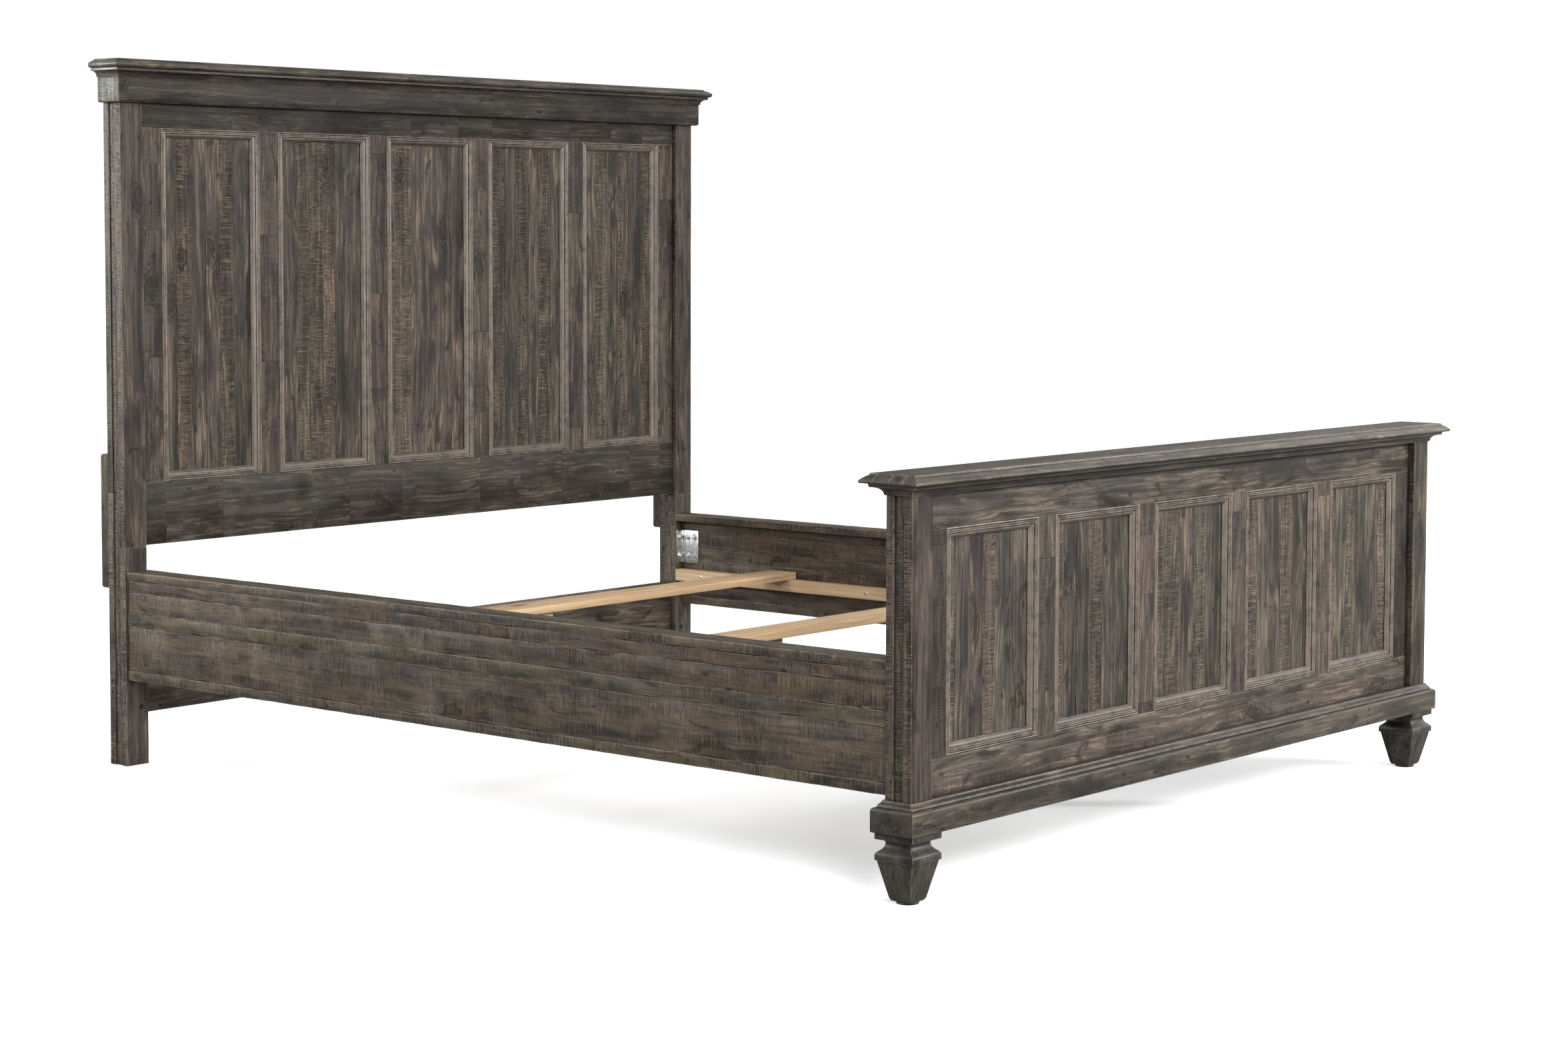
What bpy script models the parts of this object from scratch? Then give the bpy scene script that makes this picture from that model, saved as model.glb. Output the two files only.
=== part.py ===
"""Rustic panel bed frame, California king size, for Blender 4.5.

Units are metres and +Z is up.  The origin is on the floor, at the middle of the bed's bounding box.
The headboard stands at +Y, the footboard at -Y and its panelled face looks towards -Y.
Left is -X, as seen by somebody who stands at the foot and looks at the headboard.
"""
import math

import bmesh
import bpy

# ---------------------------------------------------------------- driving dimensions
HALF_WIDTH = 0.987          # centre line to the outer face of every post
LENGTH = 2.283              # front face of the headboard posts to front face of the footboard posts
POST_W = 0.0635             # post width, along X
POST_D = 0.061              # post depth, along Y
GAP = 0.0003                # joint between touching pieces
EASE = 0.0012               # eased edge of a sawn board

# headboard heights
HEAD_TOP = 1.634            # top of the crown board
HEAD_CAP_T = 0.021          # crown board thickness
HEAD_COVE_H = 0.0212        # bed moulding under the crown board
FRIEZE_Z = 1.535            # lower edge of the frieze board
HEAD_RAIL_Z = 1.4803        # lower edge of the top rail
HEAD_SILL_Z = (0.510, 0.655)    # bottom rail of the headboard frame
SEAM_FRONT_Z = 0.5075       # lap joint between post and leg, front half
SEAM_BACK_Z = 0.6345        # lap joint between post and leg, back half
CROSS_Z = (0.117, 0.262)    # stretcher between the two headboard legs
CLEAT_Z = (0.412, 0.7236)   # joining block behind each lap joint
CLEAT_T = 0.0287

# footboard heights
FOOT_TOP = 0.8026
FOOT_CAP_T = 0.019
FOOT_COVE_H = 0.0226
FOOT_RAIL_Z = 0.6954        # lower edge of the top rail
FOOT_SILL_TOP = 0.2641      # upper edge of the bottom rail
FOOT_SPLIT_Z = 0.2356       # joint between the two boards of the bottom rail
BASE_MOULD_TOP = 0.1944
PLINTH_TOP = 0.1814
PLINTH_Z = 0.134            # underside of the plinth, where the feet begin

# face frame and panels, the same on both boards
STILE_W = 0.0625
MULLION_W = 0.0575
PANELS = 5
FRAME_T = 0.024             # rails and stiles
PANEL_SETBACK = 0.0105      # panel face behind the frame face
PANEL_T = 0.012
MOULD_W = 0.0225
HEAD_RECESS = 0.0125        # frame face behind the post face
FOOT_RECESS = 0.015

# overhangs beyond the post faces
CROWN_OUT = 0.042
FRIEZE_OUT = 0.015
FOOT_CAP_OUT = 0.038
PLINTH_OUT = 0.020

# post side channel
CHANNEL_Y = (0.0200, 0.0425)    # from the front face
CHANNEL_DEPTH = 0.0035

# side rails
RAIL_OUT = 0.982            # centre line to the outer face of the rail
RAIL_T = 0.032
RAIL_Z = (0.2015, 0.4350)
LEDGE_Z = (0.268, 0.300)    # slat ledge glued inside each rail
LEDGE_W = 0.030
RAIL_CAP_OUT = 0.984
RAIL_CAP_W = 0.066
RAIL_CAP_TOP = 0.454

# slats, centre legs and levellers
SLATS = 3
SLAT_W = 0.089
SLAT_T = 0.019
CENTRE_LEG = 0.050          # side of the square centre leg
CENTRE_LEG_Z = 0.028        # lower end of the centre leg
BORE_R = 0.0055
BORE_DEPTH = 0.085
STEM_R = 0.0050
STEM_TOP = 0.078
PAD_R = 0.018

# turned and tapered foot
FOOT_HALF = 0.0448          # half side of the square block
GLIDE_R = 0.0215
GLIDE_T = 0.005

# places worked out from the dimensions above
HEAD_Y = (LENGTH + FOOT_CAP_OUT - POST_D - CLEAT_T) / 2
FOOT_Y = HEAD_Y - LENGTH
INNER = HALF_WIDTH - POST_W             # inner faces of the posts
FIELD = INNER - STILE_W                 # inner edges of the stiles
OPENING_W = (2 * FIELD - (PANELS - 1) * MULLION_W) / PANELS
SIDES = (("left", -1), ("right", 1))


# ---------------------------------------------------------------- materials
def material(name, colour, roughness, metallic=0.0):
    mat = bpy.data.materials.new(name)
    mat.use_nodes = True
    shader = mat.node_tree.nodes["Principled BSDF"]
    shader.inputs["Base Color"].default_value = (*colour, 1.0)
    shader.inputs["Roughness"].default_value = roughness
    shader.inputs["Metallic"].default_value = metallic
    return mat


def make_materials():
    return {
        "board": material("charcoal_board", (0.075, 0.068, 0.062), 0.62),
        "plank": material("charcoal_plank", (0.062, 0.058, 0.054), 0.70),
        "moulding": material("charcoal_moulding", (0.115, 0.102, 0.098), 0.50),
        "rail": material("umber_rail", (0.085, 0.068, 0.052), 0.58),
        "hidden": material("plain_pine", (0.320, 0.235, 0.150), 0.70),
        "nylon": material("black_nylon", (0.020, 0.020, 0.021), 0.45),
    }


# ---------------------------------------------------------------- mesh helpers
def finish(name, bm, mat, smooth=False):
    """Turn a bmesh into a named object with outward faces."""
    bmesh.ops.recalc_face_normals(bm, faces=bm.faces)
    mesh = bpy.data.meshes.new(name)
    bm.to_mesh(mesh)
    bm.free()
    mesh.materials.append(mat)
    obj = bpy.data.objects.new(name, mesh)
    bpy.context.scene.collection.objects.link(obj)
    if smooth:
        mesh.shade_smooth()
        mesh.set_sharp_from_angle(angle=math.radians(35))
    return obj


def board(name, lo, hi, mat, ease=EASE):
    """A sawn board with eased edges between two opposite corners."""
    bm = bmesh.new()
    bmesh.ops.create_cube(bm, size=1.0)
    for v in bm.verts:
        for axis in range(3):
            v.co[axis] = lo[axis] if v.co[axis] < 0 else hi[axis]
    if ease > 0:
        bmesh.ops.bevel(bm, geom=bm.edges[:], offset=ease, segments=1, affect="EDGES")
    return finish(name, bm, mat)


def prism(name, outline, axis, start, end, mat):
    """A solid from a flat outline, swept straight along X, Y or Z (axis 0, 1 or 2)."""
    bm = bmesh.new()
    rows = []
    for place in (start, end):
        row = []
        for a, b in outline:
            co = [a, b]
            co.insert(axis, place)
            row.append(bm.verts.new(co))
        rows.append(row)
    bm.faces.new(rows[0])
    bm.faces.new(rows[1])
    count = len(outline)
    for i in range(count):
        j = (i + 1) % count
        bm.faces.new((rows[0][i], rows[0][j], rows[1][j], rows[1][i]))
    return finish(name, bm, mat)


def cutter(obj):
    """Hide a tool body, so that it isn't part of the bed."""
    obj.hide_render = True
    obj.display_type = "WIRE"
    return obj


def boolean(obj, tool, operation):
    mod = obj.modifiers.new(operation.lower(), "BOOLEAN")
    mod.operation = operation
    mod.solver = "EXACT"
    mod.object = tool


def slab(name, half_x, y_front, y_back, profile, mat, wrap_back):
    """A flat board with the same moulded edge all round, mitred at its corners.

    profile runs from the underside to the top as (overhang, z).  Without wrap_back the back edge
    stays straight and plain.
    """
    bm = bmesh.new()
    rings = []
    for out, z in profile:
        x = half_x + out
        front = y_front - out
        back = y_back + (out if wrap_back else 0.0)
        corners = ((-x, front), (x, front), (x, back), (-x, back))
        rings.append([bm.verts.new((cx, cy, z)) for cx, cy in corners])
    for low, high in zip(rings, rings[1:]):
        for i in range(4):
            j = (i + 1) % 4
            bm.faces.new((low[i], low[j], high[j], high[i]))
    bm.faces.new(rings[0])
    bm.faces.new(rings[-1])
    return finish(name, bm, mat)


def picture_frame(name, x0, x1, z0, z1, y_face, profile, mat):
    """Four moulding sticks mitred into one frame; profile is (inwards, depth) from the frame face."""
    bm = bmesh.new()
    rings = []
    for inward, depth in profile:
        y = y_face + depth
        corners = ((x0 + inward, z0 + inward), (x1 - inward, z0 + inward),
                   (x1 - inward, z1 - inward), (x0 + inward, z1 - inward))
        rings.append([bm.verts.new((x, y, z)) for x, z in corners])
    for k, ring in enumerate(rings):
        following = rings[(k + 1) % len(rings)]
        for i in range(4):
            j = (i + 1) % 4
            bm.faces.new((ring[i], ring[j], following[j], following[i]))
    return finish(name, bm, mat)


def lathe(name, profile, centre, segments, mat):
    """A turned solid; profile is (radius, z) and starts and ends on the axis."""
    bm = bmesh.new()
    rings = []
    for radius, z in profile[1:-1]:
        ring = []
        for k in range(segments):
            angle = 2 * math.pi * k / segments
            ring.append(bm.verts.new((centre[0] + radius * math.cos(angle),
                                      centre[1] + radius * math.sin(angle), z)))
        rings.append(ring)
    for low, high in zip(rings, rings[1:]):
        for i in range(segments):
            j = (i + 1) % segments
            bm.faces.new((low[i], low[j], high[j], high[i]))
    for ring in (rings[0], rings[-1]):
        bm.faces.new(ring)
    return finish(name, bm, mat, smooth=True)


# ---------------------------------------------------------------- moulding profiles
def arc(centre, radius, start_deg, end_deg, steps):
    points = []
    for k in range(steps + 1):
        a = math.radians(start_deg + (end_deg - start_deg) * k / steps)
        points.append((centre[0] + radius * math.cos(a), centre[1] + radius * math.sin(a)))
    return points


def hollow(start, end, steps):
    """A quarter hollow that leaves its start upwards and reaches its end outwards."""
    points = []
    for k in range(steps + 1):
        a = math.pi / 2 * k / steps
        points.append((end[0] - (end[0] - start[0]) * math.cos(a),
                       start[1] + (end[1] - start[1]) * math.sin(a)))
    return points


def lifted(points, z):
    return [(out, z + height) for out, height in points]


def crown_profile():
    points = arc((0.0352, 0.0068), 0.0068, -90, 75, 6)
    points += [(0.0345, 0.0146), (0.0300, 0.0164), (0.0250, 0.0186), (0.0243, HEAD_CAP_T)]
    return lifted(points, HEAD_TOP - HEAD_CAP_T)


def head_cove_profile():
    points = [(0.0172, 0.0), (0.0178, 0.0016)]
    points += hollow((0.0180, 0.0020), (0.0318, 0.0145), 5)
    points += [(0.0338, 0.0148), (0.0338, HEAD_COVE_H - GAP)]
    return lifted(points, HEAD_TOP - HEAD_CAP_T - HEAD_COVE_H)


def frieze_profile():
    low = 0.0052
    points = arc((FRIEZE_OUT - low, low), low, -90, 0, 3)
    points += [(FRIEZE_OUT, HEAD_TOP - HEAD_CAP_T - HEAD_COVE_H - GAP - FRIEZE_Z)]
    return lifted(points, FRIEZE_Z)


def foot_cap_profile():
    points = arc((0.0347, 0.0033), 0.0033, -90, 45, 3)
    points += [(0.0330, 0.0092), (0.0285, 0.0126), (0.0228, 0.0152), (0.0222, FOOT_CAP_T)]
    return lifted(points, FOOT_TOP - FOOT_CAP_T)


def foot_cove_profile():
    points = [(0.0024, 0.0)]
    points += hollow((0.0032, 0.0012), (0.0196, 0.0148), 5)
    points += [(0.0232, 0.0152), (0.0246, FOOT_COVE_H - GAP)]
    return lifted(points, FOOT_TOP - FOOT_CAP_T - FOOT_COVE_H)


def base_moulding_profile():
    height = BASE_MOULD_TOP - PLINTH_TOP
    points = [(0.0112, 0.0), (0.0112, 0.0022)]
    for k in range(6):
        t = k / 5
        swing = 0.0009 * math.sin(2 * math.pi * t)
        points.append((0.0100 - 0.0058 * t + swing, 0.0028 + (height - 0.0040) * t))
    points += [(0.0036, height)]
    return lifted(points, PLINTH_TOP)


def plinth_profile():
    height = PLINTH_TOP - GAP - PLINTH_Z
    top = 0.0066
    points = [(PLINTH_OUT - 0.0016, 0.0), (PLINTH_OUT, 0.0016)]
    points += arc((PLINTH_OUT - top, height - top), top, 0, 90, 4)
    return lifted(points, PLINTH_Z)


def panel_moulding_profile():
    back = PANEL_SETBACK - GAP
    return [
        (GAP, back), (GAP, 0.0010), (0.0011, -0.0012), (0.0042, -0.0012),
        (0.0052, 0.0010), (0.0060, 0.0010), (0.0067, -0.0005), (0.0088, -0.0005),
        (0.0095, 0.0012), (0.0103, 0.0012), (0.0111, 0.0), (0.0127, 0.0003),
        (0.0138, 0.0024), (0.0150, 0.0025), (0.0183, 0.0048), (0.0204, 0.0082),
        (MOULD_W, 0.0086), (MOULD_W, back),
    ]


# ---------------------------------------------------------------- shared pieces of both boards
def frame_cutter(name, y_face, recess, z0, z1, back_open):
    """The outline of two posts and the frame between them, with the joint gap all round."""
    xo = HALF_WIDTH + GAP
    xi = INNER - GAP
    y0 = y_face - GAP
    y1 = y_face + recess - GAP
    if back_open:
        y3 = y_face + POST_D + 0.05
        outline = [(-xo, y0), (-xi, y0), (-xi, y1), (xi, y1), (xi, y0), (xo, y0), (xo, y3), (-xo, y3)]
    else:
        y2 = y_face + recess + FRAME_T + GAP
        y3 = y_face + POST_D + GAP
        outline = [(-xo, y0), (-xi, y0), (-xi, y1), (xi, y1), (xi, y0), (xo, y0),
                   (xo, y3), (xi, y3), (xi, y2), (-xi, y2), (-xi, y3), (-xo, y3)]
    return cutter(prism(name, outline, 2, z0, z1, None))


def opening_edges():
    """The left and right edge of each panel opening."""
    edges = []
    for k in range(PANELS):
        left = -FIELD + k * (OPENING_W + MULLION_W)
        edges.append((left, left + OPENING_W))
    return edges


def face_frame(prefix, y_face, recess, z_sill, z_rail, mats):
    """Stiles, mullions, plank panel and panel mouldings between the two rails."""
    y0 = y_face + recess
    for side, sign in SIDES:
        xs = sorted((sign * (FIELD + GAP), sign * (INNER - GAP)))
        board(f"{prefix}_stile_{side}", (xs[0], y0, z_sill + GAP), (xs[1], y0 + FRAME_T, z_rail - GAP),
              mats["board"])
    edges = opening_edges()
    for k in range(PANELS - 1):
        board(f"{prefix}_mullion_{k + 1}", (edges[k][1] + GAP, y0, z_sill + GAP),
              (edges[k + 1][0] - GAP, y0 + PANEL_SETBACK - GAP, z_rail - GAP), mats["board"])
    board(f"{prefix}_plank_panel", (-FIELD + GAP, y0 + PANEL_SETBACK, z_sill + GAP),
          (FIELD - GAP, y0 + PANEL_SETBACK + PANEL_T, z_rail - GAP), mats["plank"], ease=0.0)
    for k, (left, right) in enumerate(edges):
        picture_frame(f"{prefix}_panel_moulding_{k + 1}", left, right, z_sill + GAP, z_rail - GAP,
                      y0, panel_moulding_profile(), mats["moulding"])


def channel(obj, sign, y_face, z0, z1):
    """The shallow channel down the outer side of a post."""
    xs = sorted((sign * (HALF_WIDTH - CHANNEL_DEPTH), sign * (HALF_WIDTH + 0.02)))
    tool = cutter(board(f"{obj.name}_channel", (xs[0], y_face + CHANNEL_Y[0], z0 - 0.02),
                        (xs[1], y_face + CHANNEL_Y[1], z1 + 0.02), None, ease=0.0))
    boolean(obj, tool, "DIFFERENCE")


# ---------------------------------------------------------------- headboard
def make_headboard(mats):
    under_cap = HEAD_TOP - HEAD_CAP_T
    back = HEAD_Y + POST_D
    slab("head_cap", HALF_WIDTH, HEAD_Y, back, crown_profile(), mats["board"], wrap_back=False)

    cove = slab("head_cove_moulding", HALF_WIDTH, HEAD_Y, back, head_cove_profile(), mats["moulding"],
                wrap_back=False)
    frieze = slab("head_frieze", HALF_WIDTH, HEAD_Y, back, frieze_profile(), mats["board"],
                  wrap_back=False)
    tool = frame_cutter("head_frame_space", HEAD_Y, HEAD_RECESS, FRIEZE_Z - 0.05, HEAD_TOP + 0.05,
                        back_open=True)
    boolean(cove, tool, "DIFFERENCE")
    boolean(frieze, tool, "DIFFERENCE")

    y0 = HEAD_Y + HEAD_RECESS
    x_in = INNER - GAP
    board("head_top_rail", (-x_in, y0, HEAD_RAIL_Z), (x_in, y0 + FRAME_T, under_cap - GAP),
          mats["board"])
    board("head_bottom_rail", (-x_in, y0, HEAD_SILL_Z[0]), (x_in, y0 + FRAME_T, HEAD_SILL_Z[1]),
          mats["board"])
    face_frame("head", HEAD_Y, HEAD_RECESS, HEAD_SILL_Z[1], HEAD_RAIL_Z, mats)
    board("head_cross_rail", (-x_in, HEAD_Y + 0.020, CROSS_Z[0]), (x_in, HEAD_Y + 0.042, CROSS_Z[1]),
          mats["rail"])
    for side, sign in SIDES:
        make_head_post(side, sign, under_cap, mats)


def make_head_post(side, sign, under_cap, mats):
    """The post, the leg lapped to it, and the block screwed on behind the lap joint."""
    y0 = HEAD_Y
    lap = HEAD_Y + POST_D / 2
    y1 = HEAD_Y + POST_D
    xs = sorted((sign * INNER, sign * HALF_WIDTH))
    upper = [(y0, SEAM_FRONT_Z + GAP), (lap - GAP, SEAM_FRONT_Z + GAP), (lap - GAP, SEAM_BACK_Z + GAP),
             (y1, SEAM_BACK_Z + GAP), (y1, under_cap - GAP), (y0, under_cap - GAP)]
    post = prism(f"head_post_{side}", upper, 0, xs[0], xs[1], mats["board"])
    channel(post, sign, HEAD_Y, SEAM_FRONT_Z, under_cap)

    lower = [(y0, 0.0), (y1, 0.0), (y1, SEAM_BACK_Z), (lap, SEAM_BACK_Z), (lap, SEAM_FRONT_Z),
             (y0, SEAM_FRONT_Z)]
    leg = prism(f"head_leg_{side}", lower, 0, xs[0], xs[1], mats["rail"])
    channel(leg, sign, HEAD_Y, 0.0, SEAM_BACK_Z)

    board(f"head_cleat_{side}", (xs[0], y1 + GAP, CLEAT_Z[0]), (xs[1], y1 + CLEAT_T, CLEAT_Z[1]),
          mats["rail"], ease=0.006)


# ---------------------------------------------------------------- footboard
def make_footboard(mats):
    under_cap = FOOT_TOP - FOOT_CAP_T
    back = FOOT_Y + POST_D
    slab("foot_cap", HALF_WIDTH, FOOT_Y, back, foot_cap_profile(), mats["board"], wrap_back=True)
    cove = slab("foot_cove_moulding", HALF_WIDTH, FOOT_Y, back, foot_cove_profile(), mats["moulding"],
                wrap_back=True)
    base = slab("foot_base_moulding", HALF_WIDTH, FOOT_Y, back, base_moulding_profile(),
                mats["moulding"], wrap_back=True)
    plinth = slab("foot_plinth", HALF_WIDTH, FOOT_Y, back, plinth_profile(), mats["board"],
                  wrap_back=True)
    tool = frame_cutter("foot_frame_space", FOOT_Y, FOOT_RECESS, PLINTH_Z - 0.05, FOOT_TOP + 0.05,
                        back_open=False)
    for piece in (cove, base, plinth):
        boolean(piece, tool, "DIFFERENCE")

    y0 = FOOT_Y + FOOT_RECESS
    y1 = y0 + FRAME_T
    x_in = INNER - GAP
    board("foot_top_rail", (-x_in, y0, FOOT_RAIL_Z), (x_in, y1, under_cap - GAP), mats["board"])
    board("foot_bottom_rail_upper", (-x_in, y0, FOOT_SPLIT_Z + GAP), (x_in, y1, FOOT_SILL_TOP),
          mats["board"])
    board("foot_bottom_rail_lower", (-x_in, y0, PLINTH_Z), (x_in, y1, FOOT_SPLIT_Z), mats["board"])
    face_frame("foot", FOOT_Y, FOOT_RECESS, FOOT_SILL_TOP, FOOT_RAIL_Z, mats)
    for side, sign in SIDES:
        xs = sorted((sign * INNER, sign * HALF_WIDTH))
        post = board(f"foot_post_{side}", (xs[0], FOOT_Y, PLINTH_Z), (xs[1], back, under_cap - GAP),
                     mats["board"], ease=0.0)
        channel(post, sign, FOOT_Y, PLINTH_Z, under_cap)
        make_foot(side, sign, mats)


def foot_profile():
    """Half sides of the square foot from the glide up to the plinth."""
    half = FOOT_HALF
    top = PLINTH_Z - GAP
    points = [(0.0215, GLIDE_T), (0.0252, 0.0125), (0.0414, 0.0800), (0.0414, 0.0835)]
    points += [(0.0428, 0.0862), (0.0444, 0.0905), (0.0447, 0.0955), (0.0436, 0.0995)]
    points += [(0.0400, 0.1050), (0.0350, 0.1098), (0.0310, 0.1130), (0.0296, 0.1165)]
    points += [(0.0304, 0.1198), (0.0340, 0.1225), (half - 0.0020, 0.1243), (half, 0.1260)]
    points += [(half, top)]
    return points


def make_foot(side, sign, mats):
    """A square foot with a block, a neck, a collar and a tapered toe, on a round glide."""
    cx = sign * (HALF_WIDTH - POST_W / 2)
    cy = FOOT_Y + POST_D / 2
    bm = bmesh.new()
    rings = []
    for half, z in foot_profile():
        corners = ((-half, -half), (half, -half), (half, half), (-half, half))
        rings.append([bm.verts.new((cx + x, cy + y, z)) for x, y in corners])
    for low, high in zip(rings, rings[1:]):
        for i in range(4):
            j = (i + 1) % 4
            bm.faces.new((low[i], low[j], high[j], high[i]))
    bm.faces.new(rings[0])
    bm.faces.new(rings[-1])
    foot = finish(f"foot_{side}", bm, mats["board"])
    disc = [(0.0, 0.0), (GLIDE_R - 0.0010, 0.0), (GLIDE_R, 0.0010), (GLIDE_R, GLIDE_T - 0.0004),
            (GLIDE_R - 0.0040, GLIDE_T + 0.0030), (0.0, GLIDE_T + 0.0030)]
    glide = cutter(lathe(f"glide_{side}", disc, (cx, cy), 32, None))
    boolean(foot, glide, "UNION")


# ---------------------------------------------------------------- side rails
def make_side_rails(mats):
    """A wide rail with its slat ledge inside, and the flat cap strip on top."""
    y0 = FOOT_Y + POST_D + GAP
    y1 = HEAD_Y - GAP
    z_low, z_high = RAIL_Z
    inner = RAIL_OUT - RAIL_T
    for side, sign in SIDES:
        section = [(RAIL_OUT, z_low), (RAIL_OUT, z_high - GAP), (inner, z_high - GAP),
                   (inner, LEDGE_Z[1]), (inner - LEDGE_W, LEDGE_Z[1]), (inner - LEDGE_W, LEDGE_Z[0]),
                   (inner, LEDGE_Z[0]), (inner, z_low)]
        prism(f"side_rail_{side}", [(sign * x, z) for x, z in section], 1, y0, y1, mats["rail"])
        xs = sorted((sign * RAIL_CAP_OUT, sign * (RAIL_CAP_OUT - RAIL_CAP_W)))
        board(f"side_rail_cap_{side}", (xs[0], y0, z_high), (xs[1], y1, RAIL_CAP_TOP), mats["rail"],
              ease=0.0025)


# ---------------------------------------------------------------- slats and levelled centre legs
def make_slats(mats):
    y0 = FOOT_Y + POST_D
    span = HEAD_Y - y0
    half = RAIL_OUT - RAIL_T - 0.002
    z0 = LEDGE_Z[1] + GAP
    for k in range(SLATS):
        y = y0 + span * (k + 0.5) / SLATS
        board(f"slat_{k + 1}", (-half, y - SLAT_W / 2, z0), (half, y + SLAT_W / 2, z0 + SLAT_T),
              mats["hidden"], ease=0.0015)
        leg = board(f"centre_leg_{k + 1}", (-CENTRE_LEG / 2, y - CENTRE_LEG / 2, CENTRE_LEG_Z),
                    (CENTRE_LEG / 2, y + CENTRE_LEG / 2, z0 - GAP), mats["hidden"], ease=0.002)
        hole = [(0.0, CENTRE_LEG_Z - 0.02), (BORE_R, CENTRE_LEG_Z - 0.02),
                (BORE_R, CENTRE_LEG_Z + BORE_DEPTH), (0.0, CENTRE_LEG_Z + BORE_DEPTH)]
        tool = cutter(lathe(f"bore_{k + 1}", hole, (0.0, y), 24, None))
        boolean(leg, tool, "DIFFERENCE")
        foot = [(0.0, 0.0), (PAD_R - 0.002, 0.0), (PAD_R, 0.0020), (PAD_R, 0.0055),
                (0.0110, 0.0095), (STEM_R, 0.0100), (STEM_R, STEM_TOP - 0.001),
                (STEM_R - 0.001, STEM_TOP), (0.0, STEM_TOP)]
        lathe(f"leveller_{k + 1}", foot, (0.0, y), 24, mats["nylon"])


def main():
    for obj in list(bpy.data.objects):
        bpy.data.objects.remove(obj, do_unlink=True)
    mats = make_materials()
    make_headboard(mats)
    make_footboard(mats)
    make_side_rails(mats)
    make_slats(mats)


main()
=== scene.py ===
import math
import random

import bmesh
import bpy
from mathutils import Matrix, Vector


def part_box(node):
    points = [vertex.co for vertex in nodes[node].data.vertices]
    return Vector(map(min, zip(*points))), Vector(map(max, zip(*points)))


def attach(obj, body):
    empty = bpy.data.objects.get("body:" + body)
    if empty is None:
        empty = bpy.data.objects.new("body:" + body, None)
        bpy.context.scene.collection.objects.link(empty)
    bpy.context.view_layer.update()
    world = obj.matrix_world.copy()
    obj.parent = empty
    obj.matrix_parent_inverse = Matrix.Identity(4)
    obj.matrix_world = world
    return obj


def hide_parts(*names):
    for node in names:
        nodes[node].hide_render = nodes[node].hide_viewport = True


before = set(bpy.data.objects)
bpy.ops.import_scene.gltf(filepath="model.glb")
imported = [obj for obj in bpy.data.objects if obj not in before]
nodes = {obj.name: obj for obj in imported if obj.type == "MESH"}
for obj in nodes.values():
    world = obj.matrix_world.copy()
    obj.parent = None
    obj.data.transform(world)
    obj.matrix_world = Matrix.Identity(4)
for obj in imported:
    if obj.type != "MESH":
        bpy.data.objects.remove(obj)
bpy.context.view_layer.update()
rng = random.Random(7)

BED = "bed"
SIDES = (("left", -1), ("right", 1))
JOINT = 0.0003              # the line between two pieces that touch
SUNK = 0.0008               # how far the heads at the back are let in
GLIDE_T = 0.0050            # thickness of the round glides under the feet
X, Y, Z = Vector((1, 0, 0)), Vector((0, 1, 0)), Vector((0, 0, 1))
SMOOTH_BOARD = math.radians(28)     # bends gentler than this are shaded as one face
SMOOTH_CURVE = math.radians(32)


# ---- node helpers
def add_node(tree, kind, inputs=None, **settings):
    made = tree.nodes.new(kind)
    for key, value in settings.items():
        setattr(made, key, value)
    for key, value in (inputs or {}).items():
        if isinstance(value, bpy.types.NodeSocket):
            tree.links.new(value, made.inputs[key])
        else:
            made.inputs[key].default_value = value
    return made


def maths(tree, operation, a, b=0.0, c=0.0):
    return add_node(tree, "ShaderNodeMath", {0: a, 1: b, 2: c}, operation=operation).outputs[0]


def times(tree, a, b):
    return maths(tree, "MULTIPLY", a, b)


def times_add(tree, a, b, c):
    return maths(tree, "MULTIPLY_ADD", a, b, c)


def vector_of(tree, x, y, z):
    return add_node(tree, "ShaderNodeCombineXYZ", {0: x, 1: y, 2: z}).outputs[0]


def noise(tree, vector, scale=1.0, detail=3.0, roughness=0.55, distortion=0.0):
    made = add_node(tree, "ShaderNodeTexNoise", {
        "Vector": vector, "Scale": scale, "Detail": detail, "Roughness": roughness,
        "Distortion": distortion})
    return made.outputs[0]


def step(tree, value, low, high, to_low=0.0, to_high=1.0):
    """A smooth step from to_low at low to to_high at high."""
    made = add_node(tree, "ShaderNodeMapRange", {
        0: value, 1: low, 2: high, 3: to_low, 4: to_high}, interpolation_type="SMOOTHSTEP")
    return made.outputs[0]


def blend(tree, amount, a, b, kind="MIX"):
    made = add_node(tree, "ShaderNodeMix", {0: amount, 6: a, 7: b}, data_type="RGBA", blend_type=kind)
    return made.outputs[2]


def rgb(r, g, b):
    return (r, g, b, 1.0)


def grey(value):
    return rgb(value, value, value)


def new_material(name):
    mat = bpy.data.materials.new(name)
    mat.use_nodes = True
    return mat, mat.node_tree, mat.node_tree.nodes["Principled BSDF"]


# ---- weathered wood
DARK_STAIN = rgb(0.0160, 0.0134, 0.0110)
GREY_STAIN = rgb(0.0560, 0.0470, 0.0385)
PALE_GRAIN = rgb(0.0920, 0.0765, 0.0610)
TAN_WOOD = rgb(0.165, 0.127, 0.088)
OCHRE_WOOD = rgb(0.098, 0.073, 0.043)
# pale worn wood, also used as the painted highlight on the open faces of mouldings
WORN_EDGE_AND_HIGHLIGHT = rgb(0.290, 0.238, 0.192)
# near black, for the dark glaze and the painted shade in the corners
GLAZE_AND_SHADE = rgb(0.0040, 0.0030, 0.0024)
KNOT = rgb(0.0085, 0.0065, 0.0050)
RED_KNOT = rgb(0.030, 0.0125, 0.0060)
BLOCKS_PER_METRE = 5.2      # short lengths finger-jointed into the face frame
SEAM_SHARE = 0.0045         # share of a short length that its dark joint takes
KNOTS = (3.7, 8.6, 0.20, 0.26)          # per metre along, per metre across, share chosen, unevenness
PIN_KNOTS = (17.0, 31.0, 0.045, 0.5)
ARRIS_REACH = 0.0024        # how far rubbing reaches in from an arris
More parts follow.
